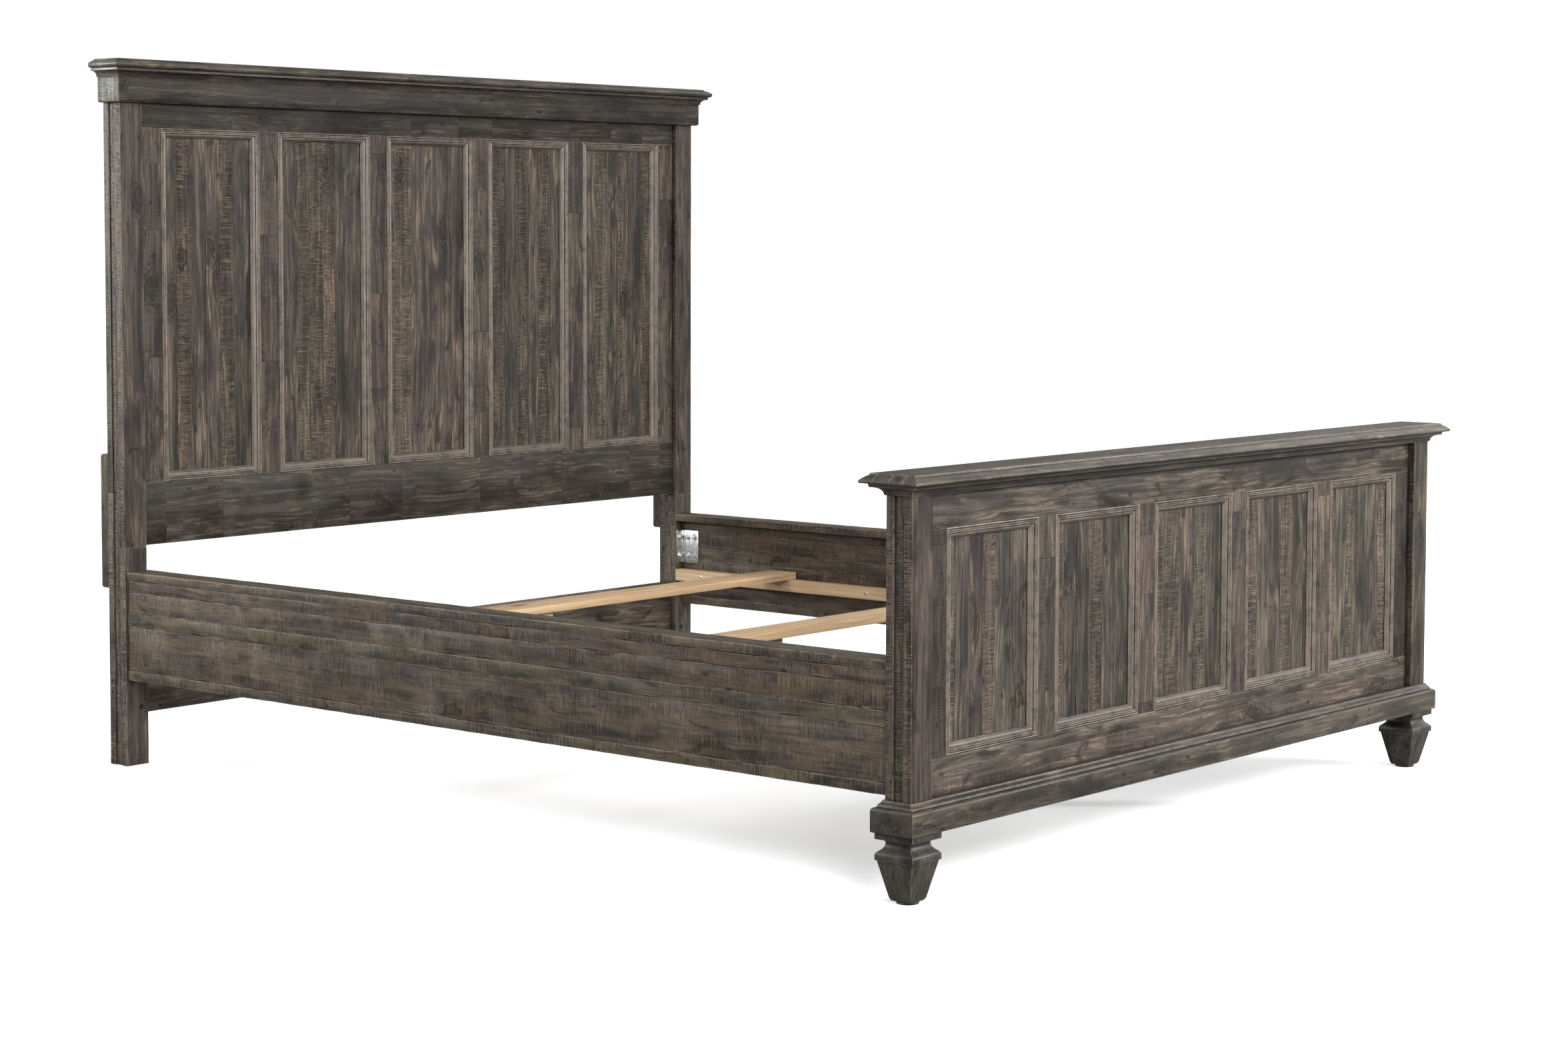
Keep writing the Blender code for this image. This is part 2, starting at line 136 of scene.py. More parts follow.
CORNER_REACH = 0.009        # how far the dark glaze and the painted shade reach out of a corner
GRAIN_DEPTH = 0.0009


def joint_cells(tree, along, number):
    """(which short length this is, how far along it from 0 to 1) for finger-jointed boards."""
    place = times_add(tree, along, BLOCKS_PER_METRE, times(tree, number, 7.3))
    uneven = maths(tree, "SINE", times_add(tree, along, 11.0, number))
    place = times_add(tree, uneven, 0.30, place)
    return maths(tree, "FLOOR", place), maths(tree, "FRACT", place)


def grain_space(tree, grain, seed, jointed=False):
    """Object coordinates turned so that u runs along the grain, shifted by each piece's own number."""
    where = add_node(tree, "ShaderNodeTexCoord").outputs["Object"]
    parts = add_node(tree, "ShaderNodeSeparateXYZ", {0: where}).outputs
    order = {"X": (0, 2, 1), "Y": (1, 2, 0), "Z": (2, 0, 1)}[grain]
    number = add_node(tree, "ShaderNodeAttribute", attribute_name="piece").outputs["Fac"]
    number = maths(tree, "ADD", number, seed)
    cell = None
    if jointed:
        cell, part_way = joint_cells(tree, parts[order[0]], number)
        number = times_add(tree, cell, 0.37, number)
    u = times_add(tree, number, 3.17, parts[order[0]])
    v = times_add(tree, number, 1.31, parts[order[1]])
    w = times_add(tree, number, 0.77, parts[order[2]])
    sway = noise(tree, vector_of(tree, times(tree, u, 2.2), times(tree, v, 5.0),
                                 times(tree, w, 5.0)), 1.0, 2.0)
    v = times_add(tree, sway, 0.045, v)
    return u, v, w, number, (part_way if jointed else None)


def stretched(tree, space, along, across):
    u, v, w = space[:3]
    return vector_of(tree, times(tree, u, along), times(tree, v, across),
                     times(tree, w, across))


def knots(tree, space, along, across, share, shake):
    """(where a knot is chosen, distance from its heart) for uneven oval knots scattered over the boards."""
    u, v, w = space[:3]
    bend = noise(tree, stretched(tree, space, 30.0, 48.0), 1.0, 3.0, 0.6)
    twist = noise(tree, stretched(tree, space, 19.0, 71.0), 1.0, 3.0, 0.6)
    place = vector_of(
        tree, times_add(tree, u, along, times(tree, twist, shake)),
        times_add(tree, maths(tree, "ADD", v, w), across, times(tree, bend, shake)),
        0.0)
    cells = add_node(tree, "ShaderNodeTexVoronoi", {"Vector": place, "Scale": 1.0},
                     voronoi_dimensions="2D")
    chosen = add_node(tree, "ShaderNodeSeparateColor", {0: cells.outputs["Color"]}).outputs[0]
    return maths(tree, "LESS_THAN", chosen, share), cells.outputs["Distance"]


def saw_marks(tree, space, sawn, colour, height, only_across=None):
    """Short dashes across the board, pale where the blade tore the wood and dark where stain sat."""
    ladder = times_add(tree, space[0], 1450.0, maths(
        tree, "MULTIPLY", noise(tree, stretched(tree, space, 14.0, 26.0), 1.0, 2.0), 26.0))
    ladder = maths(tree, "SINE", ladder)
    marks = noise(tree, stretched(tree, space, 440.0, 21.0), 1.0, 3.0, 0.65)
    marks = times_add(tree, ladder, 0.055, marks)
    tears = noise(tree, stretched(tree, space, 360.0, 52.0), 1.0, 4.0, 0.68)
    tears = times_add(tree, ladder, 0.035, tears)
    patch = noise(tree, stretched(tree, space, 13.0, 38.0), 1.0, 3.0, 0.60)
    patch = step(tree, patch, 0.36, 0.62, 0.18, 1.0)
    if only_across:
        normal = add_node(tree, "ShaderNodeNewGeometry").outputs["Normal"]
        parts = add_node(tree, "ShaderNodeSeparateXYZ", {0: normal}).outputs
        faces = maths(tree, "ABSOLUTE", parts["XYZ".index(only_across)])
        patch = times(tree, patch, step(tree, faces, 0.70, 0.90))
    tips = times(tree, step(tree, marks, 0.47, 0.64), patch)
    cuts = times(tree, step(tree, tears, 0.44, 0.34), step(tree, patch, 0.0, 0.6))
    colour = blend(tree, times(tree, tips, 0.78 * sawn), colour, TAN_WOOD)
    colour = blend(tree, times(tree, cuts, 0.92 * sawn), colour, KNOT)
    relief = maths(tree, "SUBTRACT", times(tree, tips, 0.6), cuts)
    return colour, times_add(tree, relief, 1.3 * sawn, height)


def wood(name, grain, sawn=0.0, tone=1.0, warmth=0.5, seed=0.0, gloss=0.50, wear=1.0, specular=0.20,
         jointed=False, only_across=None, rub_and_highlight=0.0, tint=(1.0, 1.0, 1.0), spread=0.50,
         ochre=0.0, streaks=0.80, knot=KNOT):
    """Stained, worn and lacquered pine, darkened in its corners with glaze and painted shade, and on
    mouldings lighter on the open faces with wear and painted highlight.  sawn is how much of the blade's
    marks is left across it.
    """
    mat, tree, shader = new_material(name)
    space = grain_space(tree, grain, seed, jointed)
    number, part_way = space[3:]

    # each piece takes the stain a little differently
    dice = add_node(tree, "ShaderNodeTexWhiteNoise", {"W": number}, noise_dimensions="1D")
    lots = add_node(tree, "ShaderNodeSeparateColor", {0: dice.outputs["Color"]}).outputs

    clouds = noise(tree, stretched(tree, space, 6.0, 17.0), 1.0, 5.0, 0.62, 0.4)
    bands = noise(tree, stretched(tree, space, 2.4, 78.0), 1.0, 4.0, 0.66, 0.6)
    lines = noise(tree, stretched(tree, space, 10.0, 330.0), 1.0, 3.0, 0.62)
    flecks = noise(tree, stretched(tree, space, 9.0, 150.0), 1.0, 3.0, 0.60)
    smears = noise(tree, stretched(tree, space, 8.0, 21.0), 1.0, 4.0, 0.66, 1.2)

    chosen, away = knots(tree, space, *KNOTS)
    near = times(tree, chosen, step(tree, away, 0.30, 0.10, 0.0, 0.9))
    swirl = times(tree, bands, 12.0)
    rings = maths(tree, "SINE", times_add(tree, away, 105.0, swirl))
    rings = times_add(tree, rings, 0.20, 0.42)
    figure = add_node(tree, "ShaderNodeMix", {0: near, 2: bands, 3: rings}).outputs[0]
    facing = add_node(tree, "ShaderNodeSeparateXYZ", {
        0: add_node(tree, "ShaderNodeNewGeometry").outputs["Normal"]}).outputs["XYZ".index(grain)]
    end_grain = step(tree, maths(tree, "ABSOLUTE", facing), 0.28, 0.60)
    figure = add_node(tree, "ShaderNodeMix", {0: times(tree, end_grain, 0.65), 2: figure,
                                              3: 0.51}).outputs[0]

    soft = times_add(tree, figure, 0.45, times(tree, clouds, 0.55))
    colour = blend(tree, step(tree, soft, 0.38, 0.60), DARK_STAIN, GREY_STAIN)
    colour = blend(tree, step(tree, figure, 0.50, 0.68, 0.0, 0.60), colour, PALE_GRAIN)
    bare = times(tree, step(tree, clouds, 0.44, 0.62), step(tree, flecks, 0.50, 0.62))
    bare = times(tree, bare, times_add(tree, end_grain, -0.85, 1.0))
    if ochre > 0:
        wide = noise(tree, stretched(tree, space, 5.0, 19.0), 1.0, 4.0, 0.60, 0.8)
        colour = blend(tree, step(tree, wide, 0.46, 0.60, 0.0, ochre), colour, OCHRE_WOOD)
    colour = blend(tree, times(tree, bare, streaks * (0.5 + warmth)), colour, TAN_WOOD)
    colour = blend(tree, step(tree, lines, 0.48, 0.34, 0.0, 0.70), colour, DARK_STAIN)
    colour = blend(tree, step(tree, smears, 0.57, 0.66, 0.0, 0.75), colour, KNOT)

    height = times(tree, lines, 0.22)
    height = times_add(tree, figure, 0.16, height)
    if sawn > 0:
        colour, height = saw_marks(tree, space, sawn, colour, height, only_across)

    heart = times(tree, chosen, step(tree, away, 0.100, 0.085))
    dark_rim = times(tree, chosen, step(tree, maths(tree, "ABSOLUTE", maths(
        tree, "SUBTRACT", away, 0.100)), 0.020, 0.006))
    feather = times(tree, near, step(tree, lines, 0.60, 0.40))
    colour = blend(tree, times(tree, feather, 0.45), colour, knot)
    colour = blend(tree, times(tree, heart, 0.40), colour, knot)
    colour = blend(tree, times(tree, dark_rim, 0.88), colour, KNOT)
    picked, far = knots(tree, space, *PIN_KNOTS)
    pins = times(tree, picked, step(tree, far, 0.17, 0.07))
    colour = blend(tree, times(tree, pins, 0.85), colour, KNOT)
    height = maths(tree, "SUBTRACT", height, times(tree, pins, 0.5))

    # lighter and darker, plum-brown and olive pieces
    level = times_add(tree, lots[0], spread * tone, (1.02 - spread / 2) * tone)
    colour = blend(tree, 1.0, colour, add_node(tree, "ShaderNodeCombineColor", {
        0: times(tree, level, times_add(tree, lots[1], 0.11 * tint[0], 0.96 * tint[0])),
        1: times(tree, level, times_add(tree, lots[1], -0.05 * tint[1], 1.02 * tint[1])),
        2: times(tree, level, times_add(tree, lots[1], 0.03 * tint[2], 0.98 * tint[2]))
    }).outputs[0], "MULTIPLY")
    if jointed:
        seam = maths(tree, "LESS_THAN", part_way, SEAM_SHARE)
        colour = blend(tree, times(tree, seam, 0.75), colour, KNOT)

    # worn arrises, and the corners darkened with dark glaze and painted shade
    geometry = add_node(tree, "ShaderNodeNewGeometry").outputs["Normal"]
    eased = add_node(tree, "ShaderNodeBevel", {"Radius": ARRIS_REACH}, samples=4).outputs[0]
    alike = add_node(tree, "ShaderNodeVectorMath", {0: eased, 1: geometry}, operation="DOT_PRODUCT")
    arris = step(tree, alike.outputs["Value"], 0.992, 0.88)
    patchy = noise(tree, stretched(tree, space, 42.0, 55.0), 1.0, 4.0, 0.65)
    arris = times(tree, arris, step(tree, patchy, 0.40, 0.56, 0.20, 1.0))
    # painted shade: the nearer a wall, the darker, part dark glaze and part shade
    near_wall = add_node(tree, "ShaderNodeAmbientOcclusion", {"Distance": CORNER_REACH}, samples=4)
    corner = step(tree, near_wall.outputs["AO"], *((0.58, 0.28) if rub_and_highlight > 0 else (0.72, 0.36)))
    open_edge = maths(tree, "SUBTRACT", 1.0, corner)
    # painted highlight: the open faces of a moulding are painted lighter, part wear and part highlight
    if rub_and_highlight > 0:
        high = step(tree, near_wall.outputs["AO"], 0.46, 0.74, 0.0, rub_and_highlight)
        colour = blend(tree, times(tree, high, step(tree, patchy, 0.36, 0.56, 0.55, 1.0)), colour,
                       WORN_EDGE_AND_HIGHLIGHT)
    colour = blend(tree, times(tree, times(tree, arris, open_edge), 0.78 * wear),
                   colour, WORN_EDGE_AND_HIGHLIGHT)
    # corners darkened: dark glaze and painted shade
    colour = blend(tree, times(tree, corner, 0.86), colour, GLAZE_AND_SHADE)

    sheen = times_add(tree, clouds, 0.30, gloss - 0.15)
    sheen = times_add(tree, arris, -0.08, sheen)
    bump = add_node(tree, "ShaderNodeBump", {"Height": height, "Strength": 0.60, "Distance": GRAIN_DEPTH})
    tree.links.new(colour, shader.inputs["Base Color"])
    tree.links.new(sheen, shader.inputs["Roughness"])
    tree.links.new(bump.outputs[0], shader.inputs["Normal"])
    shader.inputs["Specular IOR Level"].default_value = specular
    return mat


def plain_pine(name, grain):
    """Planed softwood with no stain, for what the mattress hides."""
    mat, tree, shader = new_material(name)
    space = grain_space(tree, grain, 0.0)
    clouds = noise(tree, stretched(tree, space, 2.0, 9.0), 1.0, 3.0)
    bands = noise(tree, stretched(tree, space, 1.3, 55.0), 1.0, 4.0, 0.6, 1.0)
    lines = noise(tree, stretched(tree, space, 8.0, 300.0), 1.0, 3.0, 0.6)
    chosen, away = knots(tree, space, 3.0, 9.0, 0.35, 0.1)
    heart = times(tree, chosen, step(tree, away, 0.11, 0.07))
    colour = blend(tree, step(tree, bands, 0.35, 0.65), rgb(0.36, 0.235, 0.125), rgb(0.53, 0.38, 0.225))
    colour = blend(tree, step(tree, lines, 0.48, 0.34, 0.0, 0.35), colour, rgb(0.25, 0.15, 0.075))
    colour = blend(tree, step(tree, clouds, 0.40, 0.70, 0.0, 0.35), colour, rgb(0.46, 0.30, 0.17))
    colour = blend(tree, times(tree, heart, 0.8), colour, rgb(0.10, 0.045, 0.02))
    bump = add_node(tree, "ShaderNodeBump", {"Height": lines, "Strength": 0.35, "Distance": 0.0004})
    tree.links.new(colour, shader.inputs["Base Color"])
    tree.links.new(step(tree, clouds, 0.3, 0.7, 0.58, 0.74), shader.inputs["Roughness"])
    tree.links.new(bump.outputs[0], shader.inputs["Normal"])
    return mat


def small_part(name, clouds, grain, span, dark, bright, relief, gloss, metallic=0.0):
    """Metal or plastic: colour and sheen drift between two tones over a fine grain."""
    mat, tree, shader = new_material(name)
    where = add_node(tree, "ShaderNodeTexCoord").outputs["Object"]
    bloom = noise(tree, where, *clouds)
    bump = add_node(tree, "ShaderNodeBump", {"Height": noise(tree, where, *grain), "Strength": relief,
                                             "Distance": 0.0002})
    tree.links.new(blend(tree, step(tree, bloom, *span), dark, bright), shader.inputs["Base Color"])
    tree.links.new(step(tree, bloom, 0.3, 0.7, *gloss), shader.inputs["Roughness"])
    tree.links.new(bump.outputs[0], shader.inputs["Normal"])
    shader.inputs["Metallic"].default_value = metallic
    return mat


PLUM = (1.02, 0.985, 1.01)
OLIVE = (0.97, 1.01, 0.95)
FINISH = {
    "upright": wood("charcoal_upright", "Z", seed=1.0, tone=1.00),
    "upright_sawn": wood("charcoal_upright_sawn", "Z", sawn=1.0, tone=0.98, seed=2.0, gloss=0.62),
    "jointed_upright": wood("charcoal_jointed_upright", "Z", sawn=0.30, seed=11.0, tone=0.92, tint=PLUM,
                            jointed=True, spread=0.18),
    # the head's rails, a darker copy: painted shade under the crown
    "jointed_level": wood("charcoal_jointed_level_shaded", "X", sawn=0.15, seed=12.0, tone=0.64, jointed=True,
                          spread=0.12),
    "post": wood("charcoal_post", "Z", sawn=1.0, seed=13.0, tone=0.90, only_across="X", spread=0.16,
                 streaks=0.5),
    "foot_block": wood("charcoal_foot", "Z", seed=17.0, tone=0.82, tint=(0.95, 1.01, 0.99), spread=0.10,
                       streaks=0.22, gloss=0.44, specular=0.30),
    "level": wood("charcoal_level", "X", seed=3.0, tone=1.28, streaks=0.65),
    "foot_stile": wood("charcoal_foot_stile", "Z", sawn=0.25, seed=21.0, tone=0.54, tint=PLUM,
                       jointed=True, spread=0.16, streaks=0.5),
    "leg": wood("charcoal_leg", "Z", sawn=1.0, seed=13.0, tone=1.12, only_across="X", spread=0.10,
                streaks=0.5),
    # the frieze, darker: painted shade under the crown
    "frieze": wood("charcoal_frieze", "X", seed=16.0, tone=0.60, streaks=0.6),
    # the frieze's returns, a much lighter copy: painted light on the ends
    "frieze_end": wood("charcoal_frieze_end_lit", "Z", sawn=0.35, seed=18.0, tone=1.80,
                       tint=(0.95, 1.0, 1.04), spread=0.1),
    "level_sawn": wood("charcoal_level_sawn", "X", sawn=0.45, seed=4.0, tone=0.96, gloss=0.54),
    "plinth": wood("charcoal_plinth", "X", sawn=0.15, seed=19.0, tone=0.93, gloss=0.46, specular=0.30,
                   tint=OLIVE, streaks=0.55, spread=0.1, wear=1.2),
    "cap_level": wood("charcoal_cap", "X", sawn=0.45, seed=14.0, tone=0.95, gloss=0.42, tint=OLIVE,
                      specular=0.32, wear=1.4, spread=0.24),
    # moulding sticks: the upright ones a lighter copy for the painted light on their slopes, the level ones
    # a darker copy for painted shade
    "stick_upright": wood("moulding_upright_lit", "Z", tone=1.10, warmth=0.3, seed=6.0, gloss=0.33, wear=1.2,
                          specular=0.60, rub_and_highlight=0.32, tint=PLUM, spread=0.2),
    "stick_level": wood("moulding_level_shaded", "X", tone=0.88, warmth=0.3, seed=7.0, gloss=0.36, wear=1.2,
                        specular=0.50, rub_and_highlight=0.20, spread=0.2),
    # cove and base mouldings, a darker copy: painted shade under the caps
    "band_level": wood("charcoal_band_level_shaded", "X", tone=0.76, warmth=0.4, seed=20.0, gloss=0.40, wear=1.3,
                       specular=0.36, spread=0.15),
    "band_depth": wood("charcoal_band_depth_shaded", "Y", tone=0.76, warmth=0.4, seed=15.0, gloss=0.40, wear=1.3,
                       specular=0.36, spread=0.15),
    "rail": wood("umber_rail", "Y", sawn=0.80, tone=0.88, warmth=0.5, seed=8.0, gloss=0.48, spread=0.36,
                 specular=0.30, tint=(1.03, 0.99, 0.94), wear=1.8, ochre=0.62, streaks=0.45,
                 knot=RED_KNOT),
    "pine_level": plain_pine("plain_pine_level", "X"),
    "pine_upright": plain_pine("plain_pine_upright", "Z"),
    "pine_depth": plain_pine("plain_pine_depth", "Y"),
    "zinc": small_part("zinc_steel", (190.0, 3.0, 0.6), (1400.0, 2.0, 0.5), (0.35, 0.68),
                       rgb(0.50, 0.51, 0.52), rgb(0.70, 0.69, 0.64), 0.15, (0.26, 0.44), metallic=1.0),
    "black_steel": small_part("black_steel", (260.0, 4.0, 0.6), (260.0, 4.0, 0.6), (0.45, 0.72),
                              rgb(0.020, 0.019, 0.018), rgb(0.085, 0.078, 0.070), 0.2, (0.34, 0.55),
                              metallic=0.85),
    "nylon": small_part("black_nylon", (75.0, 4.0, 0.6), (1900.0, 2.0, 0.5), (0.46, 0.72),
                        rgb(0.016, 0.016, 0.017), rgb(0.052, 0.050, 0.048), 0.3, (0.40, 0.62)),
}


# ---- shaping tools
def clear_choice():
    if bpy.context.mode != "OBJECT":
        bpy.ops.object.mode_set(mode="OBJECT")
    bpy.ops.object.select_all(action="DESELECT")


def edit(choose=None, kind="EDGE"):
    """Open the active piece for shaping with only what choose(element) accepts selected."""
    bpy.ops.object.mode_set(mode="EDIT")
    bpy.context.tool_settings.mesh_select_mode = (kind == "VERT", kind == "EDGE", kind == "FACE")
    bpy.ops.mesh.select_all(action="DESELECT")
    bm = bmesh.from_edit_mesh(bpy.context.object.data)
    bm.normal_update()
    parts = {"VERT": bm.verts, "EDGE": bm.edges, "FACE": bm.faces}[kind]
    for part in parts:
        if choose is None or choose(part):
            part.select_set(True)
    bm.select_flush_mode()
    bmesh.update_edit_mesh(bpy.context.object.data)


def leave():
    bpy.ops.object.mode_set(mode="OBJECT")


def extrude(by):
    bpy.ops.mesh.extrude_region_move(TRANSFORM_OT_translate={"value": by})


def face_outwards():
    edit(kind="FACE")
    bpy.ops.mesh.normals_make_consistent(inside=False)
    leave()


def shade(limit=SMOOTH_BOARD):
    bpy.ops.object.shade_smooth_by_angle(angle=limit)


def piece(obj, name, finish, replaced=(), body=BED):
    """Name a finished shape, give it its finish and let it ride on its body."""
    obj.name = name
    obj.data.name = name
    obj.data.materials.clear()
    obj.data.materials.append(FINISH[finish])
    own = obj.data.attributes.new("piece", "FLOAT", "POINT")
    own.data.foreach_set("value", [rng.uniform(0, 40)] * len(obj.data.vertices))
    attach(obj, body)
    if replaced:
        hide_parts(*replaced)
    return obj


def block(lo, hi):
    """A plain block between two corners, ready to be shaped, with its place in its mesh."""
    clear_choice()
    lo, hi = Vector(lo), Vector(hi)
    bpy.ops.mesh.primitive_cube_add(size=1.0, location=(lo + hi) / 2)
    obj = bpy.context.object
    obj.scale = hi - lo
    bpy.ops.object.transform_apply(location=True, rotation=True, scale=True)
    return obj


def worn_board(lo, hi, grain, ease=0.0012, wander=0.0004, spacing=0.045):
    """A board with hand-worn arrises: cut across along its length, rounded over and slightly uneven."""
    obj = block(lo, hi)
    axis = {"X": 0, "Y": 1, "Z": 2}[grain]
    length = Vector(hi)[axis] - Vector(lo)[axis]

    def runs_along(edge):
        a, b = (v.co for v in edge.verts)
        return abs((b - a).normalized()[axis]) > 0.99

    edit(runs_along)
    bpy.ops.mesh.subdivide(number_cuts=max(2, int(length / spacing)))
    edit(runs_along)
    bpy.ops.mesh.bevel(offset=ease, segments=2, affect="EDGES", clamp_overlap=True)
    low, high = Vector(lo)[axis] + 0.001, Vector(hi)[axis] - 0.001

    def end_edge(edge):
        a, b = (v.co[axis] for v in edge.verts)
        return (a < low and b < low) or (a > high and b > high)

    edit(end_edge)
    bpy.ops.mesh.bevel(offset=ease * 0.6, segments=1, affect="EDGES", clamp_overlap=True)
    edit(kind="VERT")
    bpy.ops.transform.vertex_random(offset=wander, uniform=0.0, normal=0.0, seed=rng.randint(1, 9999))
    leave()
    for vertex in obj.data.vertices:
        vertex.co = [min(max(c, a), b) for c, a, b in zip(vertex.co, lo, hi)]
    shade()
    return obj


def outline_face(points):
    """A filled flat outline through the given points, started from a filled circle."""
    clear_choice()
    bpy.ops.mesh.primitive_circle_add(vertices=len(points), radius=1.0, fill_type="NGON")
    obj = bpy.context.object
    for vertex, point in zip(obj.data.vertices, points):
        vertex.co = point
    return obj


def stick(profile, start, along, side, length):
    """A moulding stick swept along a line and mitred at both ends.

    profile is (sideways, depth) from the line, side is the sideways direction, and depth goes along +Y.
    """
    obj = outline_face([start + side * s + Y * d for s, d in profile])
    edit(kind="FACE")
    extrude(along * length)
    for place, way in ((start, -1), (start + along * length, 1)):
        edit(kind="FACE")
        bpy.ops.mesh.bisect(plane_co=place - along * way * JOINT / 2,
                            plane_no=(side + along * way).normalized(), use_fill=True, clear_outer=True)
    face_outwards()
    shade(SMOOTH_CURVE)
    return obj


def from_solid(node):
    """A copy of a solid's own shape, its loose triangles merged into whole faces."""
    clear_choice()
    obj = bpy.data.objects.new(node, nodes[node].data.copy())
    bpy.context.scene.collection.objects.link(obj)
    obj.select_set(True)
    bpy.context.view_layer.objects.active = obj
    if obj.data.has_custom_normals:
        bpy.ops.mesh.customdata_custom_splitnormals_clear()
    edit(kind="VERT")
    bpy.ops.mesh.remove_doubles(threshold=0.00001)
    bpy.ops.mesh.dissolve_limited(angle_limit=math.radians(0.5))
    leave()
    return obj


def soften(obj, width=0.0009, segments=2, angle=35):
    """Ease every arris sharper than the given angle."""
    clear_choice()
    obj.select_set(True)
    bpy.context.view_layer.objects.active = obj
    made = obj.modifiers.new("eased", "BEVEL")
    made.width, made.segments = width, segments
    made.limit_method, made.angle_limit = "ANGLE", math.radians(angle)
    bpy.ops.object.modifier_apply(modifier=made.name)
    shade()
    return obj


def part_of(node, name, finish, cuts=(), ease=0.0009, tight=False):
    """One piece of a solid, cut out by planes; each (place, direction) takes away what lies beyond it.
    A tight piece is eased before it is cut, so its joint is a hairline."""
    obj = from_solid(node)
    if tight:
        soften(obj, ease)
    for place, direction in cuts:
        direction = direction.normalized()
        edit(kind="FACE")
        bpy.ops.mesh.bisect(plane_co=Vector(place) - direction * JOINT / 2, plane_no=direction,
                            use_fill=True, clear_outer=True)
        leave()
    if not tight:
        soften(obj, ease)
    shade()
    return piece(obj, name, finish, (node,))


def mitred(node, front, side, all_round=False):
    """A moulding that runs round a corner, as separate sticks mitred together."""
    lo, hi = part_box(node)
    front_left, front_right = (lo.x, lo.y, 0), (hi.x, lo.y, 0)
    back_left, back_right = (lo.x, hi.y, 0), (hi.x, hi.y, 0)
    middle = (0, (lo.y + hi.y) / 2, 0)
    left = [(front_left, X - Y), ((0, 0, 0), X)]
    right = [(front_right, -X - Y), ((0, 0, 0), -X)]
    front_cuts = [(front_left, Y - X), (front_right, X + Y)]
    if all_round:
        left.append((back_left, X + Y))
        right.append((back_right, Y - X))
        front_cuts.append((middle, Y))
        part_of(node, f"{node}_back", front,
                ((back_left, -X - Y), (back_right, X - Y), (middle, -Y)))
    part_of(node, f"{node}_front", front, front_cuts)
    part_of(node, f"{node}_left", side, left)
    part_of(node, f"{node}_right", side, right)


def glued_up(node, finish, seams):
    """A wide board made of narrower ones, glued at the given distances from its front."""
    edges = [None, *(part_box(node)[0].y + seam for seam in seams), None]
    for k, (front, back) in enumerate(zip(edges, edges[1:]), 1):
        cuts = [((0, front, 0), -Y)] if front is not None else []
        cuts += [((0, back, 0), Y)] if back is not None else []
        part_of(node, f"{node}_board_{k}", finish, cuts, ease=0.0010, tight=True)


def joined(objs):
    """Several shapes as one piece; each keeps its own closed form."""
    clear_choice()
    for obj in objs:
        obj.select_set(True)
    bpy.context.view_layer.objects.active = objs[0]
    bpy.ops.object.join()
    return bpy.context.object


def arc(centre, radius, start_deg, end_deg, steps):
    points = []
    for k in range(steps + 1):
        a = math.radians(start_deg + (end_deg - start_deg) * k / steps)
        points.append((centre[0] + radius * math.cos(a), centre[1] + radius * math.sin(a)))
    return points


# ---- planks of the panels
# The planks that show in each opening, from the left: (share of the width, straight from the saw)
PLANKS = {
    "head": (((26, 0), (40, 1), (40, 0), (38, 0), (38, 1), (46, 0)),
             ((41, 0), (37, 1), (38, 1), (36, 1), (27, 0), (48, 0)),
             ((62, 1), (122, 0), (38, 0)),
             ((44, 1), (40, 0), (40, 1), (34, 0), (42, 1), (30, 0)),
             ((32, 0), (44, 1), (40, 0), (38, 1), (46, 0), (30, 1))),
    "foot": (((17, 1), (40, 0), (41, 0), (35, 1), (45, 0), (50, 0)),
             ((18, 1), (44, 0), (40, 0), (42, 1), (42, 0), (42, 0)),
             ((27, 1), (52, 1), (50, 0), (40, 1), (56, 0)),
             ((38, 1), (46, 0), (44, 0), (40, 1), (60, 0)),
             ((20, 1), (48, 0), (40, 1), (46, 0), (42, 0), (32, 1))),
}
MOULDING_W = 0.0225
PLANK_GAP = JOINT * 1.5         # left on each side of a plank
TONGUE_T, TONGUE_REACH = 0.0040, 0.0024


def tongue(edge, middle):
    """Draw a tongue out of the right edge of the plank in hand, so no light comes through the joint."""
    for way in (-1, 1):
        edit(kind="FACE")
        bpy.ops.mesh.bisect(plane_co=(edge, middle + way * TONGUE_T / 2, 0), plane_no=(0, 1, 0))
        leave()
    edit(lambda face: face.normal.x > 0.7 and face.calc_center_median().x > edge - 0.002
         and abs(face.calc_center_median().y - middle) < TONGUE_T / 2, kind="FACE")
    extrude((TONGUE_REACH, 0, 0))
    leave()


def one_plank(prefix, count, left, right, rough):
    lo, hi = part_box(f"{prefix}_plank_panel")
    set_back = rng.uniform(0.0, 0.0016)
    obj = worn_board((left + PLANK_GAP, lo.y + set_back, lo.z), (right - PLANK_GAP, hi.y, hi.z), "Z",
                     ease=0.0013, wander=0.0005, spacing=0.040)
    if right < hi.x - JOINT:
        tongue(right - PLANK_GAP, (lo.y + hi.y) / 2 + 0.001)
    piece(obj, f"{prefix}_plank_{count:02d}", "upright_sawn" if rough else "upright",
          (f"{prefix}_plank_panel",) if count == 1 else ())


